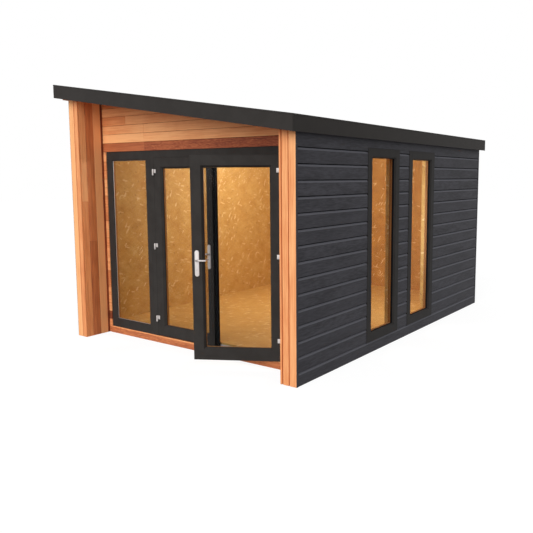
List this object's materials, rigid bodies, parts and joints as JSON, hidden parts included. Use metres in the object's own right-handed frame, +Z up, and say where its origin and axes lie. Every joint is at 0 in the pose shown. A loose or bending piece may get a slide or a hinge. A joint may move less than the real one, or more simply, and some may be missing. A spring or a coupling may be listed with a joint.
{
  "type": "garden office pod",
  "caption": "Timber garden room with a single-slope roof, dark horizontal boards, cedar fins and porch, tall side windows and glazed double doors beside a fixed light.",
  "frame": {"origin": "on the ground at the middle of the footprint of the body, between the fin fronts and the back wall", "axes": "+X to the right along the front, +Y to the back, +Z up"},
  "size_m": [3.364, 4.6815, 2.893],
  "materials": {
    "strand_board": "matt",
    "timber": "matt",
    "dark_cladding": "matt",
    "cedar": "oiled",
    "roof_covering": "matt",
    "fascia": "satin",
    "dark_frame": "satin",
    "clear_glass": "clear",
    "satin_silver": "satin"
  },
  "bodies": {
    "building": {"floor_deck": "strand_board", "left_lining": "strand_board", "right_lining": "strand_board", "back_lining": "strand_board", "front_lining": "strand_board", "ceiling_lining": "strand_board", "left_wall": "timber", "right_wall": "timber", "back_wall": "timber", "left_cladding": "dark_cladding", "right_cladding": "dark_cladding", "back_cladding": "dark_cladding", "left_fin": "cedar", "right_fin": "cedar", "front_header": "cedar", "left_strip": "cedar", "right_strip": "cedar", "sill_plate": "cedar", "porch_soffit": "cedar", "eaves_soffits": "cedar", "roof_panel": "roof_covering", "roof_kerb": "roof_covering", "front_fascia": "fascia", "back_fascia": "fascia", "left_fascia": "fascia", "right_fascia": "fascia", "side_light_frame": "dark_frame", "door_head": "dark_frame", "door_left_jamb": "dark_frame", "door_right_jamb": "dark_frame", "window_frames": "dark_frame", "side_light_glass": "clear_glass", "window_glass": "clear_glass", "threshold": "satin_silver", "frame_hinges": "satin_silver"},
    "left_door": {"left_leaf": "dark_frame", "left_leaf_glass": "clear_glass", "left_leaf_hinges": "satin_silver", "left_handle_plates": "satin_silver"},
    "left_door_lever": {"left_lever": "satin_silver"},
    "right_door": {"right_leaf": "dark_frame", "right_leaf_glass": "clear_glass", "right_leaf_hinges": "satin_silver", "right_handle_plates": "satin_silver"},
    "right_door_lever": {"right_lever": "satin_silver"}
  },
  "joints": [
    {"name": "left_door_hinge", "type": "hinge", "parent": "building", "child": "left_door", "pos_m": [-0.588, -1.906, 1.077], "axis": [0, 0, -1], "range_deg": [0, 90]},
    {"name": "right_door_hinge", "type": "hinge", "parent": "building", "child": "right_door", "pos_m": [1.207, -1.906, 1.077], "axis": [0, 0, 1], "range_deg": [-29.5, 60.5]},
    {"name": "left_lever_turn", "type": "hinge", "parent": "left_door", "child": "left_door_lever", "pos_m": [0.234, -1.864, 1.064], "axis": [0, -1, 0], "range_deg": [0, 40], "stiffness_Nm_per_rad": 1.2, "springref_deg": -34.38},
    {"name": "right_lever_turn", "type": "hinge", "parent": "right_door", "child": "right_door_lever", "pos_m": [0.46131, -2.27963, 1.064], "axis": [-0.4924, 0.8704, 0], "range_deg": [0, 40], "stiffness_Nm_per_rad": 1.2, "springref_deg": -34.38}
  ]
}
